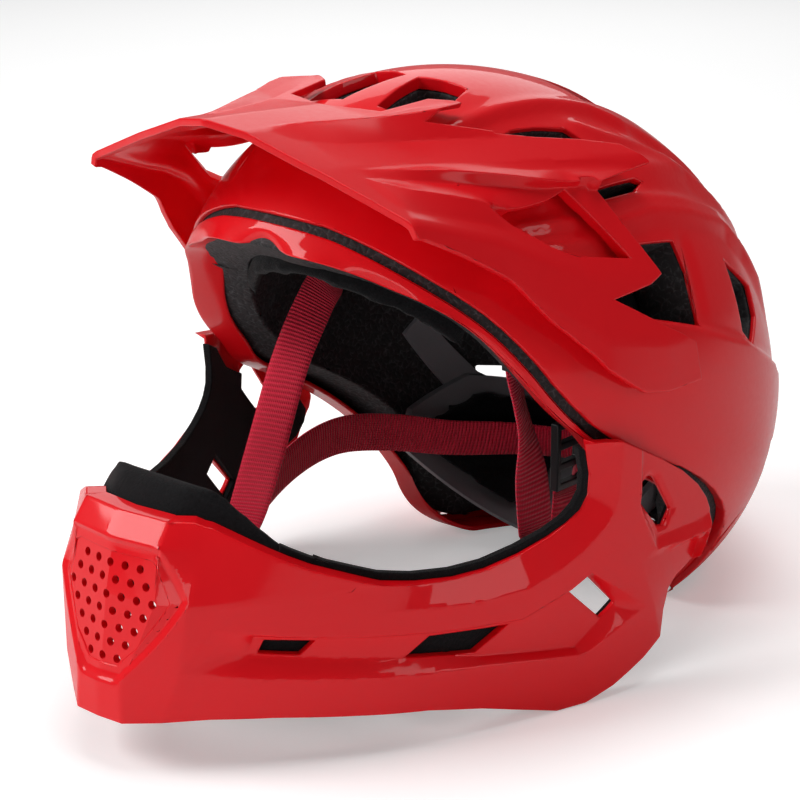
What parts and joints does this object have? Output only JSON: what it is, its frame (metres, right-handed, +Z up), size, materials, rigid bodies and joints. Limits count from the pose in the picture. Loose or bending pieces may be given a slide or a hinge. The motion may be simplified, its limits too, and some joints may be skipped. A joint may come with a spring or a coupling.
{
  "type": "downhill bike full face helmet",
  "caption": "Full face bike helmet for downhill riding: vented red shell with foam liner, peaked visor, detachable chin guard, fit dial and buckled webbing.",
  "frame": {"origin": "middle of the bounding box's underside: the surface the helmet stands on, under the middle of the head opening", "axes": "-Y is the front, where the wearer looks; +X is the wearer's left; +Z is up"},
  "size_m": [0.206, 0.336, 0.2127],
  "materials": {
    "red_gloss": "high gloss lacquered red",
    "red_satin": "satin red",
    "foam_black": "black expanded foam with a fine bead pattern",
    "felt_black": "black brushed fabric over foam",
    "grey_plastic": "satin dark grey plastic",
    "black_plastic": "satin black plastic",
    "webbing_red": "ribbed crimson webbing"
  },
  "bodies": {
    "helmet": {"outer_shell": "red_gloss", "lower_shell": "red_gloss", "eps_liner": "foam_black", "brow_pad": "felt_black", "crown_pad": "felt_black", "side_pad_left": "felt_black", "side_pad_right": "felt_black", "band_arm_left": "grey_plastic", "band_arm_right": "grey_plastic", "strap_anchor_left": "black_plastic", "strap_anchor_right": "black_plastic", "strap_divider_left": "black_plastic", "strap_divider_right": "black_plastic", "strap_adjuster_left": "black_plastic", "buckle_socket": "black_plastic", "front_strap_right": "webbing_red", "front_strap_left": "webbing_red", "rear_strap": "webbing_red", "chin_strap_right": "webbing_red", "chin_strap_left": "webbing_red", "side_strap_left": "webbing_red"},
    "visor": {"visor": "red_satin", "visor_studs": "black_plastic"},
    "chin": {"chin_guard": "red_gloss", "mouth_vent": "red_gloss", "chin_lining": "felt_black", "chin_cushion": "felt_black"},
    "cradle": {"cradle": "grey_plastic", "cradle_pads": "felt_black"},
    "dial": {"fit_dial": "black_plastic"},
    "plug": {"buckle_plug": "black_plastic"}
  },
  "joints": [
    {"name": "visor_slide", "type": "slide", "parent": "helmet", "child": "visor", "axis": [0, -0.9397, 0.342], "range_m": [0, 0.04]},
    {"name": "chin_slide", "type": "slide", "parent": "helmet", "child": "chin", "axis": [0, -1, 0], "range_m": [0, 0.1]},
    {"name": "cradle_slide", "type": "slide", "parent": "helmet", "child": "cradle", "axis": [0, -1, 0], "range_m": [0, 0.008]},
    {"name": "dial_turn", "type": "hinge", "parent": "cradle", "child": "dial", "pos_m": [0, 0.13459, 0.038], "axis": [0, 1, 0], "range_deg": [0, 180]},
    {"name": "buckle_slide", "type": "slide", "parent": "helmet", "child": "plug", "axis": [-1, 0, 0], "range_m": [0, 0.014], "deforming": ["chin_strap_right"]}
  ],
  "couplings": [
    {"joint": "dial_turn", "follows": "cradle_slide", "rad_per_m": 392.69}
  ]
}
